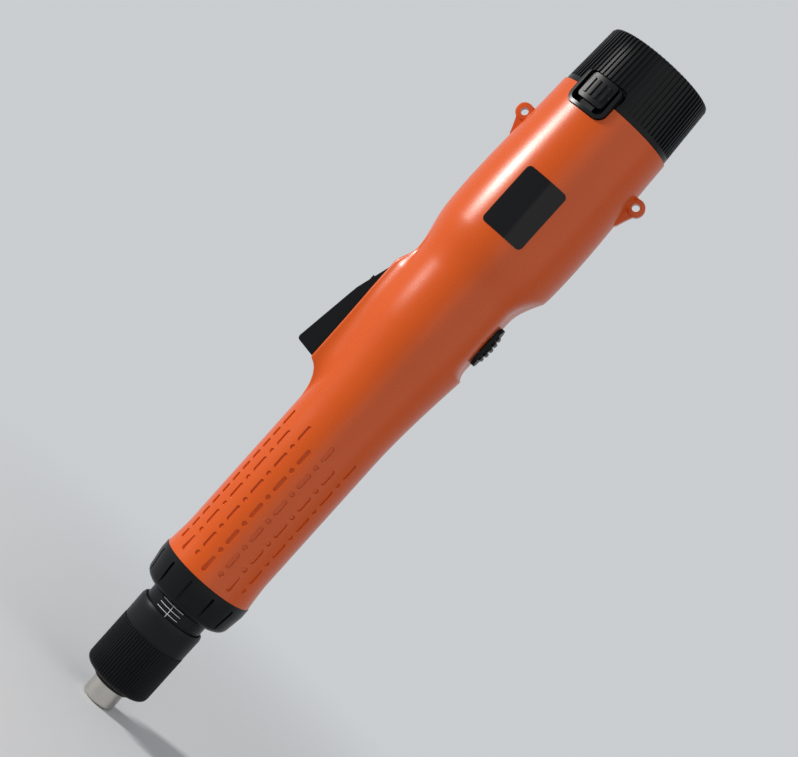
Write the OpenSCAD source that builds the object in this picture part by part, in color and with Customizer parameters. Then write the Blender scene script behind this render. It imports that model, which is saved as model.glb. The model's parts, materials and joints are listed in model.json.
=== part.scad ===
// Cordless in-line electric torque screwdriver.
// The tool's axis is Z: the chuck points down, the battery pack is at the top.
// z = 0 is the level of the two hanging ears; the lever is on -X, the direction switch on +X.

/* [Housing lengths] */
// Height of the battery seam above the holes of the ears
seam_up = 18.3; // [15:0.1:24]
// Length of the barrel round the battery pack
barrel_l = 62.3; // [60:0.1:66]
// Length of the shoulder between the waist and the barrel
shoulder_l = 19; // [17:0.5:22]
// Length from the ledge to the waist, which holds the direction switch
waist_l = 26; // [25:0.5:29]
// Length over which the grip swells out to the ledge
swell_l = 43; // [42:0.5:48]
// Length of the straight grip
grip_l = 71.7; // [69:0.1:80]

/* [Housing radii] */
// Radius of the grip at its front end
grip_front_r = 19.4; // [19.2:0.1:19.5]
// Radius of the straight grip
grip_r = 18.5; // [18.2:0.1:19.4]
// Radius at the ledge below the direction switch
ledge_r = 21.7; // [21.2:0.1:22.2]
// Radius at the waist
waist_r = 22.7; // [22.3:0.1:23.4]
// Radius of the barrel at its shoulder
barrel_r = 25.7; // [25.2:0.1:26.4]
// Radius of the barrel at the battery seam
seam_r = 24.2; // [24:0.1:24.6]
// Radius of the cavity behind the gearbox
cavity_r = 16.4; // [16.1:0.1:16.7]
// Thickness of the bulkhead below the battery
bulkhead_t = 4; // [3:0.5:5]
// Distance from the flat of the direction switch to the axis
flat_x = 19.5; // [19.2:0.1:20.2]

/* [Lever] */
// Width of the lever
lever_w = 12.6; // [11:0.1:14]
// Height of the lever's front corner from the axis
lever_top = 33.1; // [31:0.1:35]
// Height of the lever's bend from the axis
lever_bend = 29.1; // [28:0.1:30]
// Length from the hinge pin to the lever's front face
lever_l = 48.6; // [46:0.1:49.5]
// Wall of the lever's shell
lever_wall = 1.7; // [1.2:0.1:2.2]
// Height of the rails beside the lever from the axis
rail_top = 24.4; // [24:0.1:25]
// Thickness of each rail
rail_t = 2.2; // [1.8:0.1:3]
// Radius of the lever's hinge pin
pin_r = 1.2; // [0.9:0.1:1.5]

/* [Ears] */
// Distance from the axis to the hole of each ear
ear_x = 27; // [26.9:0.1:28]
// Radius of the hole in each ear
ear_hole_r = 1.5; // [1:0.1:1.6]
// Outer radius of each ear
ear_r = 3.45; // [3:0.05:4]
// Thickness of each ear at its rim
ear_t = 4.2; // [3.6:0.1:6]

/* [Nose] */
// Length of the front collar
collar_l = 14.3; // [13.6:0.1:16]
// Largest radius of the front collar
collar_r = 19.7; // [19.6:0.1:20.6]
// Length of the scale that shows behind the torque nut
scale_l = 5.6; // [5.2:0.1:7]
// Radius of the scale sleeve
scale_r = 12.4; // [12.2:0.1:12.6]
// Length of the torque nut
nut_l = 32.4; // [31:0.1:36]
// Radius of the torque nut
nut_r = 13.9; // [13.8:0.1:15]
// Number of flutes in the torque nut's knurl
nut_flutes = 72; // [48:2:90]
// Length of the thrust collar's snout in front of the torque nut
snout_l = 2.2; // [2.1:0.1:3.5]
// Length of the chuck sleeve in front of the snout
sleeve_out = 7.8; // [6.5:0.1:10]
// Radius of the chuck sleeve
sleeve_r = 6.65; // [6.5:0.05:6.7]
// Radius of the spindle
spindle_r = 4.85; // [4.7:0.05:4.9]
// Width of the hexagonal bit socket across its flats
bit_af = 6.35; // [6.3:0.05:6.4]
// Depth of the bit socket
bit_depth = 14; // [12:0.5:17]
// Radius of the ball that holds the bit
bit_ball_r = 1.1; // [0.9:0.05:1.2]
// Backward travel of the torque nut
nut_back = 4.8; // [3:0.1:5]
// Forward travel of the torque nut
nut_fwd = 2; // [1:0.1:2]
// Travel of the chuck sleeve
sleeve_travel = 3.4; // [3:0.1:3.6]

/* [Gearbox and motor] */
// Module of the gears
gear_m = 0.65; // [0.62:0.01:0.66]
// Teeth of each sun gear
sun_n = 12; // [12:12:12]
// Teeth of each planet gear
planet_n = 12; // [12:12:12]
// Width of the output planets
out_planet_w = 5.6; // [5:0.1:6]
// Width of the input planets
in_planet_w = 5; // [4:0.1:5.6]
// Radius of the planets' pins
gear_pin_r = 1.2; // [1:0.1:1.4]
// Outer radius of the ring gear
ring_r = 15.6; // [15.2:0.1:15.6]
// Radius of the motor's can
motor_r = 13.85; // [13.2:0.05:14]
// Length of the motor's can
can_l = 31; // [30:0.5:36]
// Radius of the motor's shaft
shaft_r = 1.15; // [1:0.05:1.3]

/* [Battery pack] */
// Radius of the part of the pack inside the barrel
pack_r = 21.6; // [21.5:0.05:21.6]
// Wall of the pack's case
pack_wall = 1.6; // [1.5:0.05:1.6]
// Radius of a cell
cell_r = 9.15; // [9.1:0.05:9.25]
// Length of a cell
cell_l = 65.2; // [64:0.1:66]
// Length of the ribbed cap
cap_l = 25.4; // [24.5:0.1:30]
// Radius of the cap at the seam
cap_r = 23.6; // [23.4:0.1:23.8]
// Radius of the cap at its end
cap_end_r = 22.3; // [22.2:0.1:23]
// Number of ribs round the cap
cap_ribs = 72; // [48:2:80]
// Width of a latch's bezel
bezel_w = 17.3; // [16.6:0.1:18.5]
// Length of the bezel below the seam
bezel_down = 7.3; // [6.8:0.1:8.5]
// Length of the bezel above the seam
bezel_up = 7.2; // [6.8:0.1:8]
// Width of a latch's button
button_w = 11.9; // [10:0.1:12]
// Travel of a latch's button
button_travel = 1.3; // [0.8:0.1:1.3]
// Angle of the first latch round the axis, from +X
latch_angle = 249; // [244:1:254]

/* [Clearances] */
// Gap between pieces that move past each other
slide_gap = 0.3; // [0.25:0.05:0.4]
// Radial gap of a shaft in its bore
run_gap = 0.05; // [0.02:0.01:0.08]
// Gap between faces that turn on each other
seat_gap = 0.1; // [0.05:0.01:0.2]
// Radial gap of pieces that are pressed or clamped together
fit_gap = 0.02; // [0.01:0.01:0.04]

/* [Hidden] */
$fn = 72;
big = 60;

// Colours
orange = [0.90, 0.33, 0.10];
black = [0.07, 0.07, 0.08];
steel = [0.70, 0.68, 0.66];
bronze = [0.66, 0.48, 0.27];
green = [0.10, 0.33, 0.20];
cell_blue = [0.20, 0.42, 0.62];

// Levels of the housing, from the seam down
z_seam = seam_up;
z_barrel = z_seam - barrel_l;
z_waist = z_barrel - shoulder_l;
z_ledge = z_waist - waist_l;
z_swell = z_ledge - swell_l;
z_front = z_swell - grip_l;
flare_l = 12;
wire_hole_r = 5;
screw_r = 1.3;
screw_head_r = 2.3;
screw_seat = 9.5;
screw_deep = 9;
screw_post_r = 2.7;
neck_l = 5.1;
neck_r = 17.3;

// Levels of the nose, from the housing's front end down
z_collar = z_front - collar_l;
z_rim = z_collar - scale_l;
z_nut = z_rim - nut_l;
z_snout = z_nut - snout_l;
z_tip = z_snout - sleeve_out;

// Clutch and gearbox, from the housing's front end
bearing_r = 11;
bearing_t = 6;
z_ring = z_front - 4.1;
z_bearing = z_ring - 0.6 - bearing_t;
cam_r = 10.2;
cam_t = 2.5;
shoulder_t = 0.4;
z_cam = z_bearing - shoulder_t - cam_t;
clutch_ball_r = 2;
clutch_ball_at = 7.6;
clutch_gap = 2;
plate_t = 3;
z_plate = z_cam - clutch_gap - plate_t;
hex_af = 9;
journal_r = 3;
nose_bore_r = 10.6;
disc_r = 10.7;
disc_t = 2.5;
gap_disc = 0.4;
z_out_planet = z_ring + disc_t + gap_disc;
z_idler = z_out_planet + out_planet_w + 2 * gap_disc;
z_in_planet = z_idler + disc_t + gap_disc;
z_gearplate = z_in_planet + in_planet_w + 4 * gap_disc;
gearplate_t = 2;
z_motor = z_gearplate + gearplate_t;
bell_l = 5;
motor_bush_r = 2.4;
core_r = 8.4;
core_l = 18;
z_core = z_motor + 5;
can_wall = 1.1;
boss_r = 3;
ring_n = sun_n + 2 * planet_n;
planet_at = gear_m * (sun_n + planet_n) / 2;
backlash = 0.05;
planet_turns = [0, 120, 240];

screw_places = [
    [-12.2, z_motor + can_l + bell_l + 10],
    [12.2, z_motor + can_l + bell_l + 10],
    [-14, z_waist + 3.4],
    [13.6, z_waist + 3.4]
];

// Nose pieces
nut_wall_t = 3;
cup_depth = 9.4;
cup_r = scale_r + slide_gap + 0.2;
thread_r = 11.4;
nut_bore_r = thread_r + seat_gap;
snout_r = sleeve_r + slide_gap + 1.05;
flange_r = thread_r - 1.2;
flange_t = 2.4;
z_flange = z_nut + nut_wall_t + seat_gap;
guide_r = 7.6;
sleeve_l = sleeve_out + snout_l + 6;
z_bush = z_tip + sleeve_l + nut_fwd + sleeve_travel + slide_gap;
bush_l = 5.5;
bush_r = 6;
z_thread = z_flange + flange_t + nut_back + 3.7;
z_thread_end = z_collar - 7.5;
sleeve_flange_r = 16;
clip_r = spindle_r - 0.4;
cam_shaft_r = 5;
spindle_front = 0.6;
z_spindle = z_tip + spindle_front;
z_hex = z_bush + bush_l + nut_back + 1.7;
land_z = z_tip + 9;
land_l = 3.5;
pocket_r = sleeve_r - 0.75;
ball_z = land_z + land_l / 2;
washer_t = 0.8;
spring_wire_r = 0.65;

// Lever levels and lines
lever_x = lever_w / 2;
hinge_x = -20.8;
z_hinge = z_waist - 6.9;
z_lever = z_hinge - lever_l;
lever_gap = 0.4;
slot_y = lever_x + lever_gap;
rail_y = slot_y + rail_t;
bridge_x = -15;
bridge_t = 1.6;
plunger_arm = 12.6;
z_plunger = z_hinge - plunger_arm;
switch_top = -15.3;
switch_t = 10.2;
switch_l = 19.8;
switch_w = 6.4;
z_spring = z_hinge - 38;
z_switch = z_plunger - 11.5;

// Direction switch and board
slider_l = 17.2;
slider_w = 9;
slider_up = 2;
slider_travel = 2.5;
stem_l = 6;
stem_w = 3;
z_slider = z_ledge + 15.9;
board_x = 8.5;
board_t = 1.6;
board_y = sqrt((cavity_r - seat_gap) ^ 2 - (board_x + board_t) ^ 2);
z_board = z_ledge - 28;
z_board_end = z_waist - 0.5;

// Battery levels
floor_below = 6;
z_floor = z_barrel - floor_below;
contact_t = 3.5;
contact_room = 2.5;
z_pack = z_floor + contact_t + contact_room;
bore_r = pack_r + slide_gap;
pack_floor = 2;
spacer_t = 2.5;
z_cells = z_pack + pack_floor + spacer_t;
z_cell_top = z_cells + cell_l;
seam_gap = 0.3;
z_cap = z_seam + seam_gap;
z_end = z_seam + cap_l;
cap_top_t = 2.6;
cap_in_r = pack_r - 0.7;
neck_in_r = pack_r - pack_wall;
z_neck = z_seam + bezel_up + 1;
bezel_rim = 1.3;
bezel_out_r = 25.4;
bezel_base = pack_r - 3;
pocket_floor_r = 20.65;
button_in_r = pocket_floor_r + button_travel + 0.25;
button_out_r = 24.7;
hook_w = 6;
hook_in_r = pocket_floor_r + button_travel + 0.1;
hook_out_r = hook_in_r + 0.9;
z_hook = z_seam - bezel_down - 2;
latch_turns = [0, 180];
cell_at = cell_r * 2 / sqrt(3) + 0.02;
terminal_r = 2.6;
pocket_w = bezel_w - 2 * bezel_rim;
spring_top_r = button_in_r + 1.6;

// A curve from p to q, points [r, z], with slopes m and k (dr/dz) at its ends.
function ease(p, m, q, k, n = 8) = [
    for (i = [0:n])
        let (t = i / n, d = q[1] - p[1])
        let (a = 2 * t ^ 3 - 3 * t ^ 2 + 1, b = t ^ 3 - 2 * t ^ 2 + t, c = t ^ 3 - t ^ 2)
        [a * p[0] + b * m * d + (1 - a) * q[0] + c * k * d, p[1] + t * d]
];

// Points of an arc round c with radii rx and rz, from angle a to angle b.
function arc(c, rx, rz, a, b, n = 8) = [
    for (i = [0:n])
        let (w = a + (b - a) * i / n)
        [c[0] + rx * cos(w), c[1] + rz * sin(w)]
];

// Outline of the housing from its front end to the seam, grown outwards by g.
function skin(g = 0) = concat(
    ease([grip_front_r + g, z_front], -0.1, [grip_r + g, z_front + flare_l], -0.01, 5),
    ease([grip_r + g, z_swell], 0.01, [ledge_r + g, z_ledge], 0.11, 8),
    ease([ledge_r + g, z_ledge], 0.11, [waist_r + g, z_waist], 0.05, 6),
    ease([waist_r + g, z_waist], 0.05, [barrel_r + g, z_barrel], 0.05, 8),
    ease([barrel_r + g, z_barrel], 0.05, [seam_r + g, z_seam], -0.02, 8)
);

module skin_solid(g = 0) {
    rotate_extrude()
        polygon(concat([[0, z_front]], skin(g), [[0, z_seam]]));
}

// A flat shape in X and Z, given by its points, extruded from y0 to y1.
module slab(points, y0, y1) {
    translate([0, y1, 0])
        rotate([90, 0, 0])
            linear_extrude(y1 - y0)
                polygon(points);
}

// A box given by its low and high corners.
module box(low, high) {
    translate(low)
        cube(high - low);
}

// A tube between radii a and b from z0 to z1.
module ring(a, b, z0, z1) {
    translate([0, 0, z0])
        linear_extrude(z1 - z0)
            difference() {
                circle(b);
                circle(a);
            }
}

module rod(r, z0, z1) {
    translate([0, 0, z0])
        cylinder(r = r, h = z1 - z0);
}

// A cylinder along Y at x and z, from y0 to y1.
module cross_rod(x, z, r, y0, y1) {
    translate([x, y1, z])
        rotate([90, 0, 0])
            cylinder(r = r, h = y1 - y0);
}

// A rectangle with round corners, w across X and from y0 to y1.
module round_rect(w, y0, y1, r) {
    union() {
        translate([-w / 2 + r, y0])
            square([w - 2 * r, y1 - y0]);
        translate([-w / 2, y0 + r])
            square([w, y1 - y0 - 2 * r]);
        for (x = [-w / 2 + r, w / 2 - r], y = [y0 + r, y1 - r])
            translate([x, y])
                circle(r);
    }
}

// A prism of a flat shape, whose X runs round the tool and Y up it, from radius a to radius b.
module radial(turn, a, b) {
    rotate([0, 0, turn])
        translate([a, 0, 0])
            rotate([90, 0, 90])
                linear_extrude(b - a)
                    children();
}

// Points of a round wheel with n teeth; each tooth rises from radius a to radius b.
function flutes(n, a, b, share) = [
    for (i = [0:n - 1], k = [0:3])
        let (w = 360 / n * (i + [0, share, 0.5, 0.5 + share][k]), r = k < 2 ? a : b)
        [r * cos(w), r * sin(w)]
];

// Half of a tooth's angle at radius r, for an involute gear of base radius rb.
function roll(rb, r) = sqrt(max(0, (r / rb) ^ 2 - 1)) * 180 / PI - acos(min(1, rb / r));
function half_tooth(n, m, thick, r) =
    let (rp = m * n / 2, rb = rp * cos(25))
    thick / (2 * rp) * 180 / PI + roll(rb, rp) - roll(rb, max(r, rb));

// Outline of an involute gear: n teeth, tip radius rt, root radius rr, tooth thickness thick.
function gear_points(n, m, thick, rr, rt, k = 3) = [
    for (i = [0:n - 1], s = [-1, 1], j = [0:k])
        let (u = s < 0 ? j / k : 1 - j / k, rb = m * n / 2 * cos(25))
        let (r = j == (s < 0 ? 0 : k) ? rr : max(rb, rr) + u * (rt - max(rb, rr)))
        let (w = 360 / n * i + s * half_tooth(n, m, thick, r))
        [r * cos(w), r * sin(w)]
];

module spur(n, z0, z1) {
    rp = gear_m * n / 2;
    translate([0, 0, z0])
        linear_extrude(z1 - z0)
            polygon(gear_points(n, gear_m, PI * gear_m / 2 - backlash,
                rp - 1.15 * gear_m, rp + 0.9 * gear_m));
}

// A coil spring along Z: mean radius r, wire radius w, from z0 to z1, with closed ends.
module coil(r, w, turns, z0, z1, sides = 8, steps = 16) {
    n = turns * steps;
    h = z1 - z0 - 2 * w;
    close_h = 2.1 * w;
    function rise(t) =
        t < 1 ? close_h * t
        : t > turns - 1 ? h - close_h * (turns - t)
        : close_h + (h - 2 * close_h) * (t - 1) / (turns - 2);
    points = [
        for (i = [0:n], j = [0:sides - 1])
            let (a = 360 * i / steps, b = 360 * j / sides, q = r + w * cos(b))
            [q * cos(a), q * sin(a), z0 + w + rise(i / steps) + w * sin(b)]
    ];
    walls = [
        for (i = [0:n - 1], j = [0:sides - 1])
            let (k = (j + 1) % sides)
            [i * sides + j, i * sides + k, (i + 1) * sides + k, (i + 1) * sides + j]
    ];
    first = [for (j = [sides - 1:-1:0]) j];
    last = [for (j = [0:sides - 1]) n * sides + j];
    polyhedron(points, concat(walls, [first, last]), convexity = 10);
}

// ---------- Housing ----------

// The raised rails beside the lever, blended into the grip by a hollow on each side.
module lever_fairing() {
    hollow_r = 6;
    reach = grip_r + 0.1 + hollow_r;
    hollow_y = rail_y + hollow_r;
    hollow_x = -sqrt(reach ^ 2 - hollow_y ^ 2);
    foot_y = hollow_y * (1 - hollow_r / reach);
    z0 = z_lever - 12.6;
    z1 = z_hinge + 6;
    ramp = concat(
        [[-12, z0]],
        arc([-rail_top, z0], rail_top - grip_r + 0.1, 12.2, 0, 84),
        [[-rail_top, z0 + 12.4]],
        ease([-rail_top, z_hinge - 3], 0, [0.5 - waist_r, z1], 0, 6),
        [[-12, z1]]
    );
    intersection() {
        slab(ramp, -big, big);
        translate([0, 0, z0])
            linear_extrude(z1 - z0)
                difference() {
                    translate([-big, -foot_y])
                        square([big - 12, 2 * foot_y]);
                    for (s = [-1, 1]) {
                        translate([-big, s > 0 ? rail_y : -rail_y - big])
                            square([big + hollow_x, big]);
                        translate([hollow_x, s * hollow_y])
                            circle(hollow_r);
                    }
                }
    }
}

// One ear lug: a ring on a web that sweeps down to the barrel.
module ear(side) {
    web = 3.4;
    root_x = seam_r - 1.2;
    outline = concat(
        [[side * root_x, 3.2]],
        [[side * (ear_x + 1), ear_r - 0.15]],
        [for (t = [0:0.2:1]) [side * (ear_x + ear_r * (1 - t) - 1.2 * t), -9.5 * t ^ 1.4]],
        [[side * root_x, -12]]
    );
    slab(outline, -web / 2, web / 2);
    cross_rod(side * ear_x, 0, ear_r, -ear_t / 2, ear_t / 2);
}

// What is cut off the +X side for the direction switch: a ledge, a flat and a hollow shoulder.
module flat_cutter() {
    ledge_drop = 4.6;
    tail = z_waist + 5.5;
    hollow_l = 12.5;
    hollow_x = barrel_r - flat_x + 0.6;
    outline = concat(
        [[big, z_ledge]],
        [for (w = [0:15:90]) [flat_x + 2.6 * (1 - sin(w)), z_ledge + ledge_drop * (1 - cos(w))]],
        [for (w = [0:12:72]) [flat_x + hollow_x * (1 - cos(w)), tail + hollow_l * sin(w)]],
        [[big, tail + hollow_l * sin(72) + 3]]
    );
    slab(outline, -big, big);
}

// What stands inside the housing: motor ribs, screw posts, board rails, spring bridge and cradle.
module inner_ribs() {
    rib_t = 2;
    for (z = [z_motor + 5, z_motor + can_l - 7])
        ring(motor_r + fit_gap, cavity_r + 0.5, z, z + rib_t);
    for (p = screw_places)
        cross_rod(p[0], p[1], screw_post_r, -big, big);
    for (s = [-1, 1])
        difference() {
            box([board_x - 1.5, s > 0 ? board_y - 1.2 : -big, z_board - 2],
                [board_x + board_t + 1.5, s > 0 ? big : 1.2 - board_y, z_board_end + 1]);
            box([board_x - fit_gap, -board_y - fit_gap, z_board - fit_gap],
                [board_x + board_t + fit_gap, board_y + fit_gap, z_board_end + 2]);
        }
    box([bridge_x - bridge_t, -big, z_spring - 5], [bridge_x, big, z_spring + 5]);
    difference() {
        for (z = [z_switch + 2.5, z_switch + switch_l - 4.5])
            box([switch_top + 1, -big, z], [switch_top + switch_t + 1.5, big, z + rib_t]);
        box([switch_top - 1, -switch_w / 2 - fit_gap, z_switch - 1],
            [switch_top + switch_t + fit_gap, switch_w / 2 + fit_gap, z_switch + switch_l + 1]);
    }
}

// The space inside the housing: gearbox seat, cavity, bulkhead and battery bore.
module inner_space() {
    z0 = z_front - neck_l - 1;
    rotate_extrude()
        polygon([
            [0, z0],
            [ring_r + fit_gap, z0],
            [ring_r + fit_gap, z_motor],
            [cavity_r, z_motor + 1],
            [cavity_r, z_floor - bulkhead_t],
            [wire_hole_r, z_floor - bulkhead_t],
            [wire_hole_r, z_floor],
            [bore_r, z_floor],
            [bore_r, z_seam + 1],
            [0, z_seam + 1]
        ]);
    box([-big, -slot_y, z_lever - slide_gap], [3 - cavity_r, slot_y, z_hinge + 3.6]);
}

// Holes for the hinge pin, the slider's stem, the latches and the ears' eyes.
module wall_holes() {
    slot_l = stem_l + 2 * slider_travel + 2 * slide_gap;
    cross_rod(hinge_x, z_hinge, pin_r + fit_gap, 0.5 - rail_y, rail_y - 0.5);
    box([cavity_r - 3, -stem_w / 2 - slide_gap, z_slider - slot_l / 2],
        [big, stem_w / 2 + slide_gap, z_slider + slot_l / 2]);
    for (t = latch_turns) {
        radial(latch_angle + t, bezel_base, big)
            round_rect(bezel_w + 2 * slide_gap, z_seam - bezel_down - slide_gap, z_seam + 9, 3.9);
        rotate([0, 0, latch_angle + t])
            box([pocket_floor_r, -hook_w / 2 - slide_gap, z_hook - slide_gap],
                [hook_out_r + slide_gap, hook_w / 2 + slide_gap, z_seam]);
    }
    for (s = [-1, 1])
        cross_rod(s * ear_x, 0, ear_hole_r, -big, big);
}

module housing_solid() {
    difference() {
        union() {
            skin_solid();
            rod(neck_r, z_front - neck_l, z_front + 1);
            lever_fairing();
            ear(1);
            ear(-1);
        }
        flat_cutter();
        difference() {
            inner_space();
            inner_ribs();
        }
        wall_holes();
    }
}

module near_housing() {
    color(orange)
        difference() {
            intersection() {
                housing_solid();
                box([-big, -big, z_front - big], [big, 0, z_seam + big]);
            }
            for (p = screw_places)
                cross_rod(p[0], p[1], screw_r - 0.3, 1 - screw_deep, 1);
        }
}

module far_housing() {
    color(orange)
        difference() {
            intersection() {
                housing_solid();
                box([-big, 0, z_front - big], [big, big, z_seam + big]);
            }
            for (p = screw_places) {
                cross_rod(p[0], p[1], screw_r + 0.1, -1, big);
                cross_rod(p[0], p[1], screw_head_r + 0.2, screw_seat, big);
            }
        }
}

// Countersunk screws that draw the two halves together from the far side.
module housing_screws() {
    color(steel)
        for (p = screw_places)
            difference() {
                union() {
                    cross_rod(p[0], p[1], screw_r - 0.3, 1.5 - screw_deep, screw_seat);
                    cross_rod(p[0], p[1], screw_head_r, screw_seat, screw_seat + 1.9);
                }
                for (a = [0, 90])
                    translate([p[0], screw_seat + 1.9, p[1]])
                        rotate([0, a, 0])
                            cube([2.6, 1.8, 0.6], center = true);
            }
}

// Bare plate on the barrel, curved with it.
module label_plate() {
    label_w = 18;
    label_l = 25.6;
    z0 = z_barrel + 3;
    color(black)
        intersection() {
            difference() {
                skin_solid(0.3);
                skin_solid(0);
            }
            radial(270, seam_r - 5, big)
                round_rect(label_w, z0, z0 + label_l, 1.8);
        }
}

// ---------- Nose ----------

// Clamping ring on the housing's neck, with grip grooves.
module front_collar() {
    wall = 2.9;
    edge_z = z_collar + 3.8;
    face_r = scale_r + 1.3;
    grooves = 12;
    color(black)
        difference() {
            rotate_extrude()
                polygon(concat(
                    [[scale_r + fit_gap, z_collar]],
                    arc([face_r, edge_z], collar_r - 1 - face_r, 3.8, -90, 0, 6),
                    [
                        [collar_r, z_front - 4],
                        [collar_r, z_front - 0.4],
                        [collar_r - 0.4, z_front],
                        [neck_r + fit_gap, z_front],
                        [neck_r + fit_gap, z_front - neck_l],
                        [sleeve_flange_r + fit_gap, z_front - neck_l],
                        [sleeve_flange_r + fit_gap, z_collar + wall],
                        [scale_r + fit_gap, z_collar + wall]
                    ]
                ));
            for (i = [0:grooves - 1])
                rotate([0, 0, 360 / grooves * i])
                    box([collar_r - 1.3, -0.55, z_collar - 1], [big, 0.55, z_front - 2.2]);
        }
}

// Fixed nose tube: smooth under the scale, threaded under the torque nut, with the bearing seat.
module scale_sleeve() {
    color(black)
        rotate_extrude()
            polygon([
                [nose_bore_r, z_thread],
                [thread_r - 0.5, z_thread],
                [thread_r, z_thread + 0.5],
                [thread_r, z_thread_end],
                [scale_r, z_thread_end],
                [scale_r, z_collar + 2.9],
                [sleeve_flange_r, z_collar + 2.9],
                [sleeve_flange_r, z_front - neck_l],
                [ring_r, z_front - neck_l],
                [ring_r, z_ring],
                [bearing_r + fit_gap, z_ring],
                [bearing_r + fit_gap, z_bearing],
                [nose_bore_r, z_bearing]
            ]);
}

// Knurled nut that turns on the nose tube and loads the clutch spring.
module torque_nut() {
    band_z = z_rim - 10.6;
    color(black)
        difference() {
            rotate_extrude()
                polygon(concat(
                    [[snout_r + slide_gap, z_nut]],
                    arc([nut_r - 2.4, z_nut + 2.6], 2.4, 2.6, -90, 0, 6),
                    [
                        [nut_r, band_z],
                        [nut_r - 0.4, band_z],
                        [nut_r - 0.4, band_z + 0.6],
                        [nut_r - 0.1, band_z + 0.6],
                        [nut_r, z_rim - 1.2],
                        [nut_r - 0.35, z_rim],
                        [cup_r, z_rim],
                        [cup_r, z_rim - cup_depth],
                        [nut_bore_r, z_rim - cup_depth],
                        [nut_bore_r, z_nut + nut_wall_t],
                        [snout_r + slide_gap, z_nut + nut_wall_t]
                    ]
                ));
            translate([0, 0, z_nut - 1])
                linear_extrude(band_z - z_nut + 1)
                    difference() {
                        circle(nut_r + 5);
                        polygon(flutes(nut_flutes, nut_r - 0.45, nut_r + 0.02, 0.2));
                    }
        }
}

// Spring seat that slides with the torque nut; its snout is the black ring round the chuck.
module thrust_collar() {
    z_back = z_bush + bush_l + 0.5;
    z_seat = z_flange + flange_t;
    bore = sleeve_r + slide_gap;
    color(black)
        rotate_extrude()
            polygon([
                [bore, z_snout],
                [snout_r - 0.3, z_snout],
                [snout_r, z_snout + 0.3],
                [snout_r, z_flange],
                [flange_r, z_flange],
                [flange_r, z_seat],
                [guide_r, z_seat],
                [guide_r, z_back],
                [bush_r + fit_gap, z_back],
                [bush_r + fit_gap, z_bush],
                [bore, z_bush]
            ]);
}

module nose_bush() {
    color(bronze)
        ring(spindle_r + run_gap, bush_r, z_bush, z_bush + bush_l);
}

module clutch_spring() {
    color(steel)
        coil(guide_r + 0.6 + spring_wire_r, spring_wire_r, 8,
            z_flange + flange_t, z_plate - seat_gap);
}

// Six-sided hole for the spindle's hexagon, grown by g.
module hexagon(af, z0, z1) {
    translate([0, 0, z0])
        cylinder(r = af / 2 / cos(30), h = z1 - z0, $fn = 6);
}

module clutch_balls_at(r) {
    for (a = planet_turns)
        rotate([0, 0, a + 30])
            translate([clutch_ball_at, 0, z_cam - clutch_gap / 2])
                sphere(r);
}

// Driven plate of the clutch: slides on the hexagon of the spindle and carries the balls.
module clutch_plate() {
    color(steel)
        difference() {
            rod(cam_r, z_plate, z_plate + plate_t);
            hexagon(hex_af + 2 * run_gap, z_plate - 1, z_plate + plate_t + 1);
            clutch_balls_at(clutch_ball_r + fit_gap);
        }
}

module clutch_balls() {
    color(steel)
        clutch_balls_at(clutch_ball_r);
}

// Driving plate of the clutch, its shaft and the output carrier with its planet pins.
module drive_cam() {
    color(steel)
        difference() {
            union() {
                rod(cam_r, z_cam, z_cam + cam_t);
                rod(cam_shaft_r + 1, z_cam, z_bearing);
                rod(cam_shaft_r, z_cam, z_ring + disc_t);
                rod(disc_r, z_ring, z_ring + disc_t);
                for (a = planet_turns)
                    rotate([0, 0, a])
                        translate([planet_at, 0, 0])
                            rod(gear_pin_r, z_ring, z_idler - gap_disc);
            }
            rod(journal_r + run_gap, z_cam - 1, z_cam + 7);
            clutch_balls_at(clutch_ball_r + 0.1);
        }
}

// Ball bearing: two grooved races and nine balls.
module output_bearing() {
    race_t = 1.5;
    ball_r = 1.5;
    mid_r = (cam_shaft_r + bearing_r) / 2;
    z_mid = z_bearing + bearing_t / 2;
    color(steel) {
        difference() {
            union() {
                ring(cam_shaft_r + run_gap, mid_r - race_t / 2, z_bearing, z_bearing + bearing_t);
                ring(mid_r + race_t / 2, bearing_r, z_bearing, z_bearing + bearing_t);
            }
            rotate_extrude()
                translate([mid_r, z_mid])
                    circle(ball_r + 0.05);
        }
        for (i = [0:8])
            rotate([0, 0, 40 * i])
                translate([mid_r, 0, z_mid])
                    sphere(ball_r);
    }
}

module spindle() {
    color(steel)
        difference() {
            union() {
                rotate_extrude()
                    polygon([
                        [0, z_spindle],
                        [spindle_r - 0.5, z_spindle],
                        [spindle_r - 0.5, z_spindle + 0.35],
                        [clip_r, z_spindle + 0.35],
                        [clip_r, z_spindle + 1.1],
                        [spindle_r, z_spindle + 1.1],
                        [spindle_r, z_hex],
                        [0, z_hex]
                    ]);
                hexagon(hex_af, z_hex - 0.01, z_cam - 2 * seat_gap);
                rod(journal_r, z_hex, z_cam + 6.5);
            }
            hexagon(bit_af, z_spindle - 1, z_spindle + bit_depth);
            cross_rod(0, ball_z, bit_ball_r + run_gap, -big, 0);
        }
}

module bit_ball() {
    color(steel)
        translate([0, bit_ball_r + run_gap - spindle_r, ball_z])
            sphere(bit_ball_r);
}

// Washer and open snap ring that hold the chuck sleeve's spring.
module sleeve_washer() {
    z_washer = z_spindle + 1.15;
    color(steel) {
        ring(spindle_r + run_gap, pocket_r - slide_gap, z_washer, z_washer + washer_t);
        difference() {
            ring(clip_r + fit_gap, pocket_r - slide_gap - 0.3, z_spindle + 0.4, z_spindle + 1.05);
            box([0, -1, z_spindle - 1], [big, 1, z_spindle + 3]);
        }
    }
}

module sleeve_spring() {
    color(steel)
        coil((spindle_r + pocket_r) / 2, 0.3, 5, z_spindle + 1.15 + washer_t, land_z, 6);
}

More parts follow.
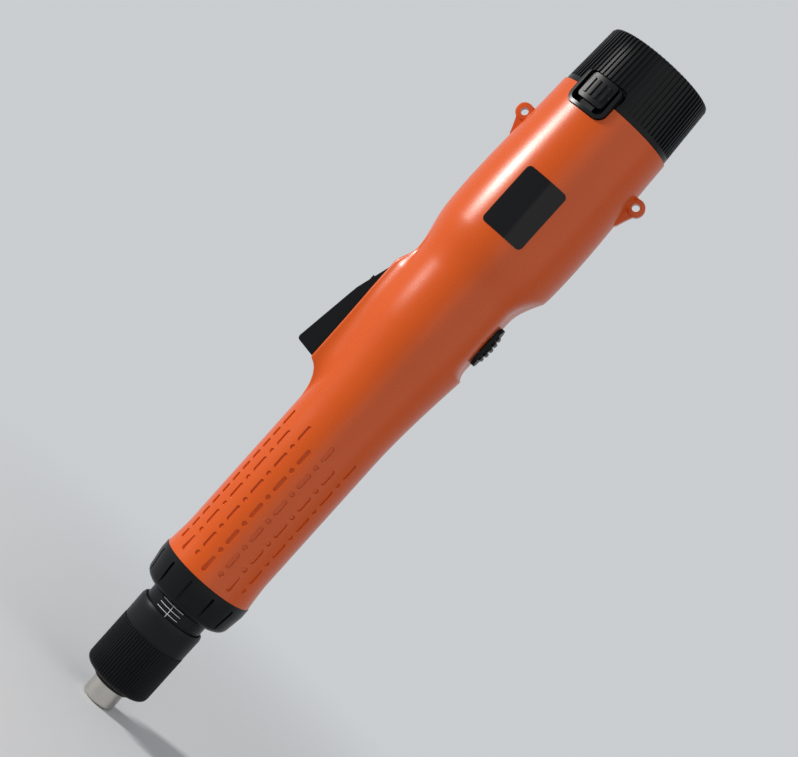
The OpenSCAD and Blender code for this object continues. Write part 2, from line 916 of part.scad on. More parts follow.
// Sliding sleeve of the quick-change chuck; its inner land holds the ball in.
module chuck_sleeve() {
    bore = spindle_r + run_gap;
    color(steel)
        rotate_extrude()
            polygon([
                [pocket_r, z_tip],
                [sleeve_r - 0.5, z_tip],
                [sleeve_r, z_tip + 0.5],
                [sleeve_r, z_tip + sleeve_l],
                [pocket_r, z_tip + sleeve_l],
                [pocket_r, land_z + land_l],
                [bore, land_z + land_l],
                [bore, land_z],
                [pocket_r, land_z]
            ]);
}

// ---------- Gearbox and motor ----------

// Ring gear shared by both planetary stages.
module ring_gear() {
    rp = gear_m * ring_n / 2;
    color(steel)
        translate([0, 0, z_ring])
            linear_extrude(z_gearplate - z_ring)
                difference() {
                    circle(ring_r);
                    rotate(180 / ring_n)
                        polygon(gear_points(ring_n, gear_m, PI * gear_m / 2 + backlash,
                            rp - 0.9 * gear_m, rp + 1.2 * gear_m));
                }
}

// One planet gear on its pin, turned so that its teeth mesh with the sun and the ring.
module planet(turn, z0, w) {
    color(steel)
        rotate([0, 0, turn])
            translate([planet_at, 0, 0])
                difference() {
                    rotate([0, 0, 180 / planet_n])
                        spur(planet_n, z0, z0 + w);
                    rod(gear_pin_r + run_gap, z0 - 1, z0 + w + 1);
                }
}

module output_planet(i) {
    planet(planet_turns[i], z_out_planet, out_planet_w);
}

module input_planet(i) {
    planet(planet_turns[i], z_in_planet, in_planet_w);
}

// Carrier of the input planets with the sun gear of the output stage.
module idler_carrier() {
    color(steel)
        union() {
            spur(sun_n, z_out_planet, z_idler);
            rod(disc_r, z_idler, z_idler + disc_t);
            for (a = planet_turns)
                rotate([0, 0, a])
                    translate([planet_at, 0, 0])
                        rod(gear_pin_r, z_idler, z_gearplate - 3 * gap_disc);
        }
}

module motor_pinion() {
    color(bronze)
        difference() {
            spur(sun_n, z_in_planet, z_in_planet + in_planet_w + gap_disc);
            rod(shaft_r, z_in_planet - 1, z_in_planet + in_planet_w + 1);
        }
}

module gearbox_plate() {
    color(steel)
        ring(boss_r + fit_gap, ring_r, z_gearplate, z_motor);
}

// Steel can with its front boss, open at the back.
module motor_can() {
    inner = motor_r - can_wall;
    color(steel)
        rotate_extrude()
            polygon([
                [motor_bush_r, z_gearplate + 0.5],
                [boss_r, z_gearplate + 0.5],
                [boss_r, z_motor],
                [motor_r - 0.8, z_motor],
                [motor_r, z_motor + 0.8],
                [motor_r, z_motor + can_l],
                [inner, z_motor + can_l],
                [inner, z_motor + 1.3],
                [motor_bush_r, z_motor + 1.3]
            ]);
}

module motor_magnets() {
    span = 130;
    color(black)
        for (a = [-span / 2, 180 - span / 2])
            rotate([0, 0, a])
                rotate_extrude(angle = span)
                    translate([core_r + 0.5, z_core - 1])
                        square([motor_r - can_wall - fit_gap - core_r - 0.5, core_l + 2]);
}

// Shaft, slotted core and commutator.
module motor_rotor() {
    slots = 5;
    color(steel)
        union() {
            rod(shaft_r, z_in_planet, z_motor + can_l + bell_l + 1.5);
            translate([0, 0, z_core])
                linear_extrude(core_l)
                    difference() {
                        circle(core_r);
                        for (i = [0:slots - 1])
                            rotate(360 / slots * i) {
                                translate([core_r - 3.8, 0])
                                    circle(2.3);
                                translate([core_r - 3, -0.6])
                                    square([5, 1.2]);
                            }
                    }
            rod(3.4, z_core + core_l + 2, z_motor + can_l - 1);
        }
}

// Plastic end of the motor, with its rear boss and two terminals.
module motor_end_bell() {
    z0 = z_motor + can_l;
    color(black)
        union() {
            rotate_extrude()
                polygon([
                    [motor_bush_r, z0 + 1],
                    [motor_r - can_wall - fit_gap - 1.5, z0 + 1],
                    [motor_r - can_wall - fit_gap - 1.5, z0 - 4],
                    [motor_r - can_wall - fit_gap, z0 - 4],
                    [motor_r - can_wall - fit_gap, z0],
                    [motor_r, z0],
                    [motor_r, z0 + bell_l - 2],
                    [motor_r - 1, z0 + bell_l - 1],
                    [boss_r + 1.5, z0 + bell_l - 1],
                    [boss_r + 1.5, z0 + bell_l],
                    [motor_bush_r, z0 + bell_l]
                ]);
            for (s = [-1, 1])
                box([s * 9 - 0.4, -1.4, z0 + 1], [s * 9 + 0.4, 1.4, z0 + bell_l + 4]);
        }
}

module motor_bushes() {
    color(bronze)
        for (z = [z_gearplate + 0.6, z_motor + can_l + bell_l - 3.5])
            ring(shaft_r + run_gap, motor_bush_r - fit_gap, z, z + 3);
}

// ---------- Controls ----------

module control_board() {
    color(green)
        box([board_x, -board_y, z_board], [board_x + board_t, board_y, z_board_end]);
}

// Capacitor, two power transistors and a plug on the board's inner face.
module board_parts() {
    cap_r2 = 3.1;
    color(black) {
        translate([board_x - cap_r2, 0, z_board + 3])
            cylinder(r = cap_r2, h = 9);
        for (y = [-6, 6])
            box([board_x - 2.3, y - 3.2, z_board + 18], [board_x, y + 3.2, z_board + 24.5]);
        box([board_x - 5, -5, z_board_end - 7], [board_x, 5, z_board_end - 1]);
    }
}

// The lever's side outline, grown inwards by g for the hollow of its shell.
function lever_line(g) = [
    [g > 0 ? -cavity_r : -21.8, z_lever + g],
    [-22, z_lever + g],
    [0.9 + g - lever_top, z_lever + 1.6 + g],
    [0.3 + g - lever_top, z_lever + 2.0 + g],
    [g - lever_top, z_lever + 2.9 + g],
    [g - lever_bend - 0.7, z_ledge - 4],
    [g - lever_bend, z_ledge + 0.5],
    [g - lever_bend + 1.2, z_ledge + 4.5],
    [g - rail_top - 0.1, z_hinge - 3.4 - g],
    [g - 23.3, z_hinge + 0.8 - 3 * g],
    [g - 22, z_hinge + 2.6 - 3.2 * g]
];

// Trigger lever: a thin channel closed on top, with the hinge boss and the finger for the switch.
module lever() {
    color(black)
        difference() {
            union() {
                difference() {
                    slab(concat(lever_line(0), [
                        [-19.6, z_hinge + 2.6],
                        [-18.4, z_hinge + 0.8],
                        [-18.4, z_hinge - 9]
                    ]), -lever_x, lever_x);
                    slab(concat(lever_line(lever_wall), [[-10, z_hinge - 3.4]]),
                        lever_wall - lever_x, lever_x - lever_wall);
                }
                box([0.8 - lever_bend, -2.2, z_plunger - 1.3],
                    [switch_top - 1.1 - seat_gap, 2.2, z_plunger + 1.3]);
                translate([-lever_top + 3, 0, z_spring])
                    rotate([0, 90, 0])
                        ring(1.2, 1.9, -0.5, 2.4);
            }
            cross_rod(hinge_x, z_hinge, pin_r + run_gap, -big, big);
        }
}

module lever_pin() {
    color(steel)
        cross_rod(hinge_x, z_hinge, pin_r, 0.6 - rail_y, rail_y - 0.6);
}

module lever_spring() {
    color(steel)
        rotate([0, 90, 0])
            translate([-z_spring, 0, 0])
                coil(2.5, 0.35, 6, 3.3 + lever_wall - lever_top + 0.6, bridge_x - bridge_t, 6);
}

// Snap switch under the lever.
module lever_switch() {
    color(black)
        difference() {
            box([switch_top, -switch_w / 2, z_switch],
                [switch_top + switch_t, switch_w / 2, z_switch + switch_l]);
            box([switch_top - 1, -1.6, z_plunger - 1.5],
                [switch_top + 3, 1.6, z_plunger + 1.5]);
        }
}

module switch_plunger() {
    color(bronze)
        box([switch_top - 1.1, -1.3, z_plunger - 1.2], [switch_top + 1.2, 1.3, z_plunger + 1.2]);
}

// Body of the direction switch, on the control board, with the slot for the slider's stem.
module direction_switch() {
    x0 = board_x + board_t;
    half_w = 5;
    slot_l = stem_l + 2 * slider_travel + 2 * slide_gap;
    color(black)
        difference() {
            box([x0, -half_w, z_slider - 8.6],
                [sqrt((cavity_r - seat_gap) ^ 2 - half_w ^ 2), half_w, z_slider + 8.6]);
            box([x0 + 2, -stem_w / 2 - slide_gap, z_slider - slot_l / 2],
                [big, stem_w / 2 + slide_gap, z_slider + slot_l / 2]);
        }
}

// Thumb slide: a plate with round ends, five ribs along a crown, and the stem.
module direction_slider() {
    x0 = flat_x + slide_gap;
    rib_r = 1.5;
    pitch = 2.35;
    color(black)
        union() {
            radial(0, x0, flat_x + slider_up)
                round_rect(slider_w, z_slider - slider_l / 2, z_slider + slider_l / 2, slider_w / 2.2);
            for (i = [-2:2])
                cross_rod(flat_x + slider_up + 0.1 - 0.12 * i ^ 2, z_slider + pitch * i,
                    rib_r - 0.4, 0.7 - slider_w / 2, slider_w / 2 - 0.7);
            box([board_x + board_t + 2 + slide_gap, -stem_w / 2, z_slider - stem_l / 2],
                [x0 + 0.5, stem_w / 2, z_slider + stem_l / 2]);
        }
}

// Round block on the bore's floor that carries the spring contacts.
module contact_block() {
    color(black)
        difference() {
            rod(bore_r - fit_gap, z_floor, z_floor + contact_t);
            rod(wire_hole_r, z_floor - 1, z_floor + contact_t + 1);
        }
}

// Three bent contact springs.
module contact_leaves() {
    leaf_t = 0.5;
    z0 = z_floor + contact_t;
    z1 = z_pack - seat_gap;
    color(bronze)
        for (a = planet_turns)
            rotate([0, 0, a])
                translate([cell_at, 0, 0])
                    slab([
                        [-4, z0],
                        [1, z0],
                        [1, z0 + leaf_t],
                        [-2.5, z0 + leaf_t],
                        [-0.4, z1 - leaf_t],
                        [0.4, z1 - leaf_t],
                        [1.6, z0 + 1],
                        [2.2, z0 + 1],
                        [0.8, z1],
                        [-0.8, z1],
                        [-4, z0 + leaf_t]
                    ], -1.6, 1.6);
}

// ---------- Battery pack ----------

// Case of the pack: a round cup with windows for the terminals and a pocket for each latch.
module pack_case() {
    color(black)
        difference() {
            rotate_extrude()
                polygon([
                    [0, z_pack],
                    [pack_r - 1, z_pack],
                    [pack_r, z_pack + 1.5],
                    [pack_r, z_seam],
                    [cap_in_r - fit_gap, z_seam],
                    [cap_in_r - fit_gap, z_neck],
                    [neck_in_r, z_neck],
                    [neck_in_r, z_pack + pack_floor],
                    [0, z_pack + pack_floor]
                ]);
            for (a = planet_turns)
                rotate([0, 0, a])
                    translate([cell_at, 0, 0])
                        rod(terminal_r + fit_gap, z_pack - 1, z_pack + pack_floor + 1);
            for (t = latch_turns) {
                radial(latch_angle + t, pocket_floor_r, big)
                    round_rect(pocket_w, z_seam - bezel_down + bezel_rim, z_seam + 9, 2);
                radial(latch_angle + t, pocket_floor_r, big)
                    translate([-hook_w / 2 - slide_gap, z_hook - slide_gap])
                        square([hook_w + 2 * slide_gap, bezel_down]);
            }
        }
}

// Ribbed end cap: a plain band at the seam, then a rib for each flute up to the end.
module pack_cap() {
    band = 2;
    rib_h = 0.5;
    end_round = 1.2;
    function outer(g) = [
        [0, z_cap],
        [cap_r - g, z_cap],
        [cap_end_r + 0.1 - g, z_end - end_round],
        [cap_end_r - 0.35 - g, z_end - 0.35],
        [cap_end_r - end_round - g, z_end],
        [0, z_end]
    ];
    color(black)
        difference() {
            union() {
                rotate_extrude()
                    polygon(outer(rib_h));
                intersection() {
                    rotate_extrude()
                        polygon(outer(0));
                    union() {
                        rod(cap_r + 1, z_cap, z_cap + band);
                        translate([0, 0, z_cap + band])
                            linear_extrude(cap_l)
                                polygon(flutes(cap_ribs, cap_end_r - 2, cap_r + 0.5, 0.22));
                    }
                }
            }
            rod(cap_in_r, z_cap - 1, z_end - cap_top_t);
            for (t = latch_turns)
                radial(latch_angle + t, bezel_base, big)
                    round_rect(bezel_w + 2 * slide_gap, z_seam - 5, z_seam + bezel_up + slide_gap, 2);
        }
}

// U-shaped frames round the latch buttons, open towards the cap.
module latch_bezels() {
    color(black)
        for (t = latch_turns)
            difference() {
                intersection() {
                    radial(latch_angle + t, bezel_base, big)
                        difference() {
                            round_rect(bezel_w, z_seam - bezel_down, z_seam + bezel_up, 3.6);
                            round_rect(bezel_w - 2 * bezel_rim, z_seam - bezel_down + bezel_rim,
                                z_seam + bezel_up + 5, 2.4);
                        }
                    ring(pack_r, bezel_out_r, z_seam - 20, z_seam + 20);
                }
                rotate([0, 0, latch_angle + t])
                    box([0, -hook_w / 2 - slide_gap, z_seam - bezel_down - 1],
                        [hook_out_r + slide_gap, hook_w / 2 + slide_gap, z_seam]);
            }
}

// Ribbed push button with its hook, and the hole for its spring.
module latch_button(i) {
    z0 = z_seam - 3.6;
    z1 = z_seam + bezel_up - 0.4;
    turn = latch_angle + latch_turns[i];
    color(black)
        difference() {
            union() {
                intersection() {
                    radial(turn, button_in_r, big)
                        round_rect(button_w, z0, z1, 1.6);
                    rod(button_out_r, z0 - 1, z1 + 1);
                }
                intersection() {
                    rotate([0, 0, turn])
                        for (y = [-3.9, -1.3, 1.3, 3.9])
                            box([button_in_r + 0.5, y - 0.5, z0 + 2], [big, y + 0.5, z1 - 2]);
                    rod(button_out_r + 0.5, z0 - 1, z1 + 1);
                }
                rotate([0, 0, turn])
                    box([hook_in_r, -hook_w / 2, z_hook], [hook_out_r, hook_w / 2, z0 + 1]);
            }
            radial(turn, button_in_r - 1, spring_top_r)
                translate([0, (z0 + z1) / 2])
                    circle(2.3);
        }
}

module latch_spring(i) {
    z0 = z_seam - 3.6;
    z1 = z_seam + bezel_up - 0.4;
    color(steel)
        rotate([0, 0, latch_angle + latch_turns[i]])
            translate([0, 0, (z0 + z1) / 2])
                rotate([0, 90, 0])
                    coil(1.9, 0.2, 3, pocket_floor_r, spring_top_r, 6);
}

module cells() {
    color(cell_blue)
        for (a = planet_turns)
            rotate([0, 0, a])
                translate([cell_at, 0, 0])
                    rod(cell_r, z_cells, z_cell_top);
}

// Spacers at both ends of the cells, with a hole over each cell.
module cell_spacers() {
    color(black)
        for (z = [z_pack + pack_floor, z_cell_top])
            difference() {
                rod(neck_in_r - fit_gap, z, z + spacer_t);
                for (a = planet_turns)
                    rotate([0, 0, a])
                        translate([cell_at, 0, 0])
                            rod(terminal_r + fit_gap, z - 1, z + spacer_t + 1);
            }
}

module pack_board() {
    color(green)
        rod(neck_in_r - fit_gap, z_cell_top + spacer_t, z_cell_top + spacer_t + board_t);
}

// Studs that join the lower ends of the cells to the outside of the pack.
module pack_terminals() {
    color(bronze)
        for (a = planet_turns)
            rotate([0, 0, a])
                translate([cell_at, 0, 0])
                    rod(terminal_r, z_pack, z_cells);
}

near_housing();
far_housing();
housing_screws();
label_plate();
front_collar();
scale_sleeve();
torque_nut();
thrust_collar();
nose_bush();
clutch_spring();
clutch_plate();
clutch_balls();
drive_cam();
output_bearing();
spindle();
chuck_sleeve();
sleeve_spring();
sleeve_washer();
bit_ball();
ring_gear();
output_planet(0);  // output_planet_a
output_planet(1);  // output_planet_b
output_planet(2);  // output_planet_c
idler_carrier();
input_planet(0);  // input_planet_a
input_planet(1);  // input_planet_b
input_planet(2);  // input_planet_c
motor_pinion();
gearbox_plate();
motor_can();
motor_magnets();
motor_rotor();
motor_end_bell();
motor_bushes();
control_board();
board_parts();
lever();
lever_pin();
lever_spring();
lever_switch();
switch_plunger();
direction_switch();
direction_slider();
contact_block();
contact_leaves();
pack_case();
pack_cap();
latch_bezels();
latch_button(0);  // latch_button_a
latch_button(1);  // latch_button_b
latch_spring(0);  // latch_spring_a
latch_spring(1);  // latch_spring_b
cells();
cell_spacers();
pack_board();
pack_terminals();
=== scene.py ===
# %% [markdown]
# # An electric torque screwdriver
#
# The screwdriver is a pen-shaped tool as long as a forearm: an orange moulded body, a press
# lever on one side, a thumb slide on the other, a knurled torque nut and a quick-change chuck
# at the nose, and a ribbed battery at the back. The pieces that move were built to size before
# this lesson starts. Here they get their finishes, and the moulded body gets its soft skin.
#
# The first cell loads those pieces. They keep their places: nothing below moves one.

# %% The frame
import json
import math

import bpy
import numpy as np
from mathutils import Matrix, Vector


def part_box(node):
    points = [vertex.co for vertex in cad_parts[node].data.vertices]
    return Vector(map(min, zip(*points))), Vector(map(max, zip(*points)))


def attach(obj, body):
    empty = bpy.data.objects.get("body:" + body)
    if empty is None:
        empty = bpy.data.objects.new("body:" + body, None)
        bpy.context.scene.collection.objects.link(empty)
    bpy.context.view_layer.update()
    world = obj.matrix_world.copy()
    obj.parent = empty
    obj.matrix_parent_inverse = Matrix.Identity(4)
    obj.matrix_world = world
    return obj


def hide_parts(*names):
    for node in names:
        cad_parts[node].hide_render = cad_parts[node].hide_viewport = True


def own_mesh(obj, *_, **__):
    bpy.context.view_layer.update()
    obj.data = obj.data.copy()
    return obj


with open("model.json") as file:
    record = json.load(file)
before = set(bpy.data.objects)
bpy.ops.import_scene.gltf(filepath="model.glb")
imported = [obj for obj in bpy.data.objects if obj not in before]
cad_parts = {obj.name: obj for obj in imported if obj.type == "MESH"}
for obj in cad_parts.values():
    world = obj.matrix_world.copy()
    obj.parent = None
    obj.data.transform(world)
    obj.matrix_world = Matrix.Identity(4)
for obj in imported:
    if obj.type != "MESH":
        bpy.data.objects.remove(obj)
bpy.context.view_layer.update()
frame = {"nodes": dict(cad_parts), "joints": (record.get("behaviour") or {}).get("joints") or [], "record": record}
nodes = frame["nodes"]
MM = 0.001

# %% [markdown]
# ## Camera
#
# The tool is drawn lying diagonally, nose at the lower left. The camera stands in front of it
# and a little to the right, and is rolled, so that the tool's own axis runs up and to the right.
# The pieces stay upright in their own frame: only the camera turns.

# %% Camera
STAND_OFF = 0.649  # metres from the tool's axis
AZIMUTH = math.radians(8)
ROLL = math.radians(48.1)  # of the tool's axis above the picture's horizontal
EYE_LEVEL, AIM_LEVEL, AIM_ACROSS = -0.0769, -0.1032, 0.0040
eye = Vector((STAND_OFF * math.sin(AZIMUTH), -STAND_OFF * math.cos(AZIMUTH), EYE_LEVEL))
across = Vector((math.cos(AZIMUTH), math.sin(AZIMUTH), 0))
target = Vector((0, 0, AIM_LEVEL)) + across * AIM_ACROSS
ahead = (target - eye).normalized()
side = ahead.cross(Vector((0, 0, 1))).normalized()
rise = side.cross(ahead)
right = rise * math.cos(ROLL) + side * math.sin(ROLL)
up = rise * math.sin(ROLL) - side * math.cos(ROLL)
camera_data = bpy.data.cameras.new("camera")
camera_data.lens = 80
camera_data.sensor_width = 36
camera = bpy.data.objects.new("camera", camera_data)
bpy.context.scene.collection.objects.link(camera)
turn = Matrix((right, up, -ahead)).transposed().to_4x4()
camera.matrix_world = Matrix.Translation(eye) @ turn
camera_data.clip_start, camera_data.clip_end = 0.01, 20
bpy.context.scene.camera = camera
bpy.context.scene.view_settings.view_transform = "Standard"
print("camera at", [round(v, 3) for v in eye])

# %% [markdown]
# All lengths below are in millimetres. Levels run along the tool, from the nose at the bottom
# to the battery at the top, with zero at the holes of the hanging ears. Where a piece already
# exists, its box gives the level, so that the skin and the pieces can't drift apart.


# %% Levels along the tool
def low(node, axis):
    """The lowest coordinate of a piece along axis 0, 1 or 2, in millimetres."""
    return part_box(node)[0][axis] / MM


def high(node, axis):
    """The highest coordinate of a piece along axis 0, 1 or 2, in millimetres."""
    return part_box(node)[1][axis] / MM


TIP = low("chuck_sleeve", 2)
FRONT = high("front_collar", 2)
SEAM = high("near_housing", 2)
BARREL = SEAM - 62.3
WAIST = BARREL - 19
LEDGE = WAIST - 26
SWELL = LEDGE - 43
HINGE = (low("lever_pin", 2) + high("lever_pin", 2)) / 2
LEVER_FRONT = low("lever", 2)
print("tip", round(TIP, 1), "front", round(FRONT, 1), "seam", round(SEAM, 1))

# %% [markdown]
# ## The outline of the body
#
# A moulded grip has no corners along its length: it flares at the front, runs straight, swells
# towards the switch, narrows at the waist and widens to the battery. Each stretch is one cubic
# curve that leaves and arrives with a chosen slope, which is how a draughtsman would lay a
# spline through a few stations.

# %% Radius of the body
STATIONS = [  # level, radius and slope at both ends of each stretch
    (FRONT, 19.4, -0.10, FRONT + 12, 18.5, -0.01),
    (FRONT + 12, 18.5, 0.0, SWELL, 18.5, 0.0),
    (SWELL, 18.5, 0.01, LEDGE, 21.7, 0.11),
    (LEDGE, 21.7, 0.11, WAIST, 22.7, 0.05),
    (WAIST, 22.7, 0.05, BARREL, 25.7, 0.05),
    (BARREL, 25.7, 0.05, SEAM, 24.2, -0.02),
]


def hermite(z, z0, r0, m0, z1, r1, m1):
    """A cubic from (z0, r0) to (z1, r1) with slopes m0 and m1: the four blends of t cubed."""
    d = z1 - z0
    t = np.clip((z - z0) / d, 0, 1)
    keep = 2 * t**3 - 3 * t**2 + 1
    leave = t**3 - 2 * t**2 + t
    arrive = t**3 - t**2
    return keep * r0 + (1 - keep) * r1 + leave * m0 * d + arrive * m1 * d


def body_radius(z):
    """Radius of the body at level z: each stretch's cubic where z is within it."""
    z = np.asarray(z, float)
    r = np.full(z.shape, STATIONS[0][1])
    for stretch in STATIONS:
        inside = z >= stretch[0]
        r = np.where(inside, hermite(z, *stretch), r)
    return r


print("radius at the waist", round(float(body_radius(WAIST)), 2))

# %% [markdown]
# ## Rails and flat
#
# Two rails rise beside the lever, and a flat with a ledge carries the thumb slide. On the real
# tool they melt into the round body. A field does that well: each form is a number that is
# negative inside and positive outside, and forms are joined or cut with a *smooth* minimum or
# maximum, which leaves a fillet where two forms meet.

# %% Smooth joins
RAIL_TOP = 24.4
LEVER_GAP = 0.4  # between the lever and the side of its slot
RAIL_Y = high("lever", 1) + LEVER_GAP + 2.2
FLAT_X = 19.5


def smooth_min(a, b, k):
    """The smaller of a and b, with a fillet: k/4 is taken off where the two are equal."""
    h = np.clip(k - np.abs(a - b), 0, None) / k
    return np.minimum(a, b) - h * h * k / 4


def smooth_max(a, b, k):
    """The larger of a and b, with a fillet: the smooth minimum turned over."""
    return -smooth_min(-a, -b, k)


RAMP = LEVER_FRONT - 12.6  # level where the rails leave the body
RAMP_L = 12.4
RAIL_FILLET = 6.2  # between rail and body, along the lever
SCOOP_L = 4.6  # length of the scoop behind the ledge
SHOULDER = WAIST + 2.6  # level where the flat starts to rise
SHOULDER_L = 12.5


def rail_height(z):
    """Height of the rails from the axis: a hollow ramp, a straight top and a soft fall."""
    along = (z - RAMP) / RAMP_L
    t = np.clip(along, 0, 0.96)
    steep = np.clip(along - 0.96, 0, 1) * RAMP_L * 2.2
    rise = RAIL_TOP + 0.3 - 6.8 * np.sqrt(1 - t * t) + steep
    rise = smooth_min(rise, RAIL_TOP, 1.2)
    fall = hermite(z, HINGE - 3, RAIL_TOP, 0, HINGE + 7, 21.6, 0)
    return np.where(z < HINGE - 3, rise, fall)


def rail_width(z):
    """Half the width over both rails, which narrows towards the foot of the ramp."""
    t = np.clip((z - RAMP) / RAMP_L, 0, 1)
    return RAIL_Y - 3.6 * (1 - t) ** 1.5


def flat_height(z):
    """Distance of the flat from the axis: a scoop after the ledge, the flat, a hollow shoulder.

    Before the ledge and past the shoulder the cut leans outwards and leaves the body.
    """
    up = np.clip(1 - (z - LEDGE) / SCOOP_L, 0, 1)
    scoop = FLAT_X + 2.6 * (1 - np.sqrt(1 - up**2)) + 1.6 * np.clip(LEDGE - z, 0, None)
    along = (z - SHOULDER) / SHOULDER_L
    t = np.clip(along, 0, 0.95)
    shoulder = FLAT_X + 4.6 * t**1.6 + 2.6 * (1 - np.sqrt(1 - t * t))
    shoulder = shoulder + 1.8 * SHOULDER_L * np.clip(along - 0.95, 0, None)
    return np.maximum(scoop, shoulder)


def body_field(x, y, z):
    """Negative inside the body: the round body joined with the rails and cut by the flat."""
    r = np.hypot(x, y)
    skin = body_radius(z)
    top = rail_height(z)
    fillet = hermite(z, RAMP, 0.9, 0, RAMP + 20, RAIL_FILLET, 0)
    fading_out = hermite(z, HINGE - 3, RAIL_FILLET, 0, HINGE + 7, 1.2, 0)
    fillet = np.where(z < HINGE - 3, fillet, fading_out)
    rails = smooth_max(np.abs(y) - rail_width(z), -x - top, 0.9)
    rails = smooth_max(smooth_max(rails, x, 1.0), RAMP - z, 1.0)
    field = smooth_min(r - skin, rails, fillet)
    return smooth_max(field, x - flat_height(z), 2.2)


# %% [markdown]
# The body is star-shaped seen from its axis, so every ray from the axis meets the skin once.
# Halving the interval on each ray, for all rays at once, finds that point to a few microns.
# The rays stand closer together where the form turns sharply.


# %% Skin of the body
def spread(start, end, count, dense):
    """count + 1 values from start to end, closer together near each (place, width, weight)."""
    fine = np.linspace(start, end, 4001)
    weight = np.ones_like(fine)
    for place, width, extra in dense:
        weight += extra * np.exp(-(((fine - place) / width) ** 2))
    total = np.concatenate([[0], np.cumsum((weight[1:] + weight[:-1]) / 2)])
    return np.interp(np.linspace(0, total[-1], count + 1), total, fine)


def skin_points(angles, levels):
    """Points of the skin on a grid: on each ray, 24 halvings between 12 and 34 mm."""
    a, z = np.meshgrid(np.radians(angles), levels)
    near = np.full(a.shape, 12.0)
    far = np.full(a.shape, 34.0)
    for _ in range(24):
        mid = (near + far) / 2
        inside = body_field(mid * np.cos(a), mid * np.sin(a), z) < 0
        near = np.where(inside, mid, near)
        far = np.where(inside, far, mid)
    return np.stack([near * np.cos(a), near * np.sin(a), z], -1)


half = spread(0, 180, 218, [(155, 9, 1.6), (0, 20, 0.4)])
angles = np.concatenate([half, 360 - half[-2:0:-1]])
levels = spread(FRONT, SEAM, 330, [(LEVER_FRONT - 2, 3, 3), (LEDGE + 1, 3, 4), (WAIST + 16, 4, 1)])
skin = skin_points(angles, levels)
seam_line = (np.abs(skin[..., 1]) < 0.01)[..., None]
skin = np.where(seam_line, skin * [0.994, 1, 1], skin)  # a shallow groove along the parting line
print("skin grid", skin.shape)

# %% [markdown]
# ## From points to solids
#
# A grid becomes a solid when its ends are closed. The same helper serves the turned shapes,
# where the grid is a profile carried round an axis.


# %% Solids
def add_solid(name, points, faces):
    """A mesh object from points in millimetres and faces as lists of indices."""
    mesh = bpy.data.meshes.new(name)
    mesh.from_pydata((np.asarray(points, float) * MM).tolist(), [], faces)
    mesh.validate()
    obj = bpy.data.objects.new(name, mesh)
    bpy.context.scene.collection.objects.link(obj)
    return obj


def tube_faces(rows, columns):
    """Faces of a grid that is closed round its columns, with both ends capped by one face."""
    i, j = np.meshgrid(np.arange(rows - 1), np.arange(columns), indexing="ij")
    k = (j + 1) % columns
    quads = np.stack([i * columns + j, i * columns + k, (i + 1) * columns + k, (i + 1) * columns + j], -1)
    bottom = list(range(columns - 1, -1, -1))
    top = list(range((rows - 1) * columns, rows * columns))
    return quads.reshape(-1, 4).tolist() + [bottom, top]


def tube(name, rings):
    """A solid from rings of points, an array of rows by columns by 3."""
    rings = np.asarray(rings, float)
    rows, columns = rings.shape[:2]
    return add_solid(name, rings.reshape(-1, 3), tube_faces(rows, columns))


def turned(name, profile, count=96, spin=None):
    """A solid of revolution about Z from (radius, level) pairs, with a tiny hole for a pole."""
    profile = np.maximum(np.asarray(profile, float), [1e-3, -1e9])
    a = np.linspace(0, 2 * np.pi, count, endpoint=False)
    r = profile[:, :1]
    z = np.broadcast_to(profile[:, 1:], (len(profile), count))
    rings = np.stack([r * np.cos(a), r * np.sin(a), z], -1)
    if spin is not None:
        rings = rings @ np.asarray(spin.to_3x3()).T + np.asarray(spin.translation)
    return tube(name, rings)


def loft(name, outline, low_at, high_at, place):
    """A prism: a flat outline drawn at two depths, then turned and shifted by a matrix."""
    flat = np.asarray(outline, float)
    rings = [np.column_stack([flat, np.full(len(flat), depth)]) for depth in (low_at, high_at)]
    rings = np.asarray(rings) @ np.asarray(place.to_3x3()).T + np.asarray(place.translation)
    return tube(name, rings)


def combine(solid, tool, operation):
    """Joins, cuts or intersects solid with tool, and removes the tool."""
    step = solid.modifiers.new(operation, "BOOLEAN")
    step.object = tool
    step.operation = operation
    step.solver = "MANIFOLD"
    graph = bpy.context.evaluated_depsgraph_get()
    result = bpy.data.meshes.new_from_object(solid.evaluated_get(graph))
    solid.modifiers.clear()
    solid.data = result
    bpy.data.objects.remove(tool)
    return solid


def joined(name, solids):
    """One object from several separate solids."""
    parts = [(np.array([v.co for v in s.data.vertices]) / MM, s) for s in solids]
    points, faces = [], []
    for co, s in parts:
        first = sum(len(p) for p in points)
        faces += [[first + v for v in f.vertices] for f in s.data.polygons]
        points.append(co)
        bpy.data.objects.remove(s)
    return add_solid(name, np.concatenate(points), faces)


def soften(obj, angle=30):
    """Smooth shading, with edges kept sharp where faces meet at more than an angle."""
    obj.data.shade_smooth()
    obj.data.set_sharp_from_angle(angle=math.radians(angle))
    return obj


# %% [markdown]
# ## What is cut from the body
#
# Turned seats for gearbox, motor and battery run through the middle. The lever has a slot, the
# slide's stem has one, the latches sit in rounded notches at the seam, and the screws go in from
# the far side. The ears are added first and drilled later.

# %% Outlines for the cuts
def stadium(length, width, count=10):
    """A slot's outline, length along Y: two half circles."""
    a = np.linspace(0, np.pi, count)
    r = width / 2
    cap = np.stack([r * np.cos(a), r * np.sin(a)], -1)
    return np.concatenate([cap + [0, length / 2 - r], -cap - [0, length / 2 - r]])


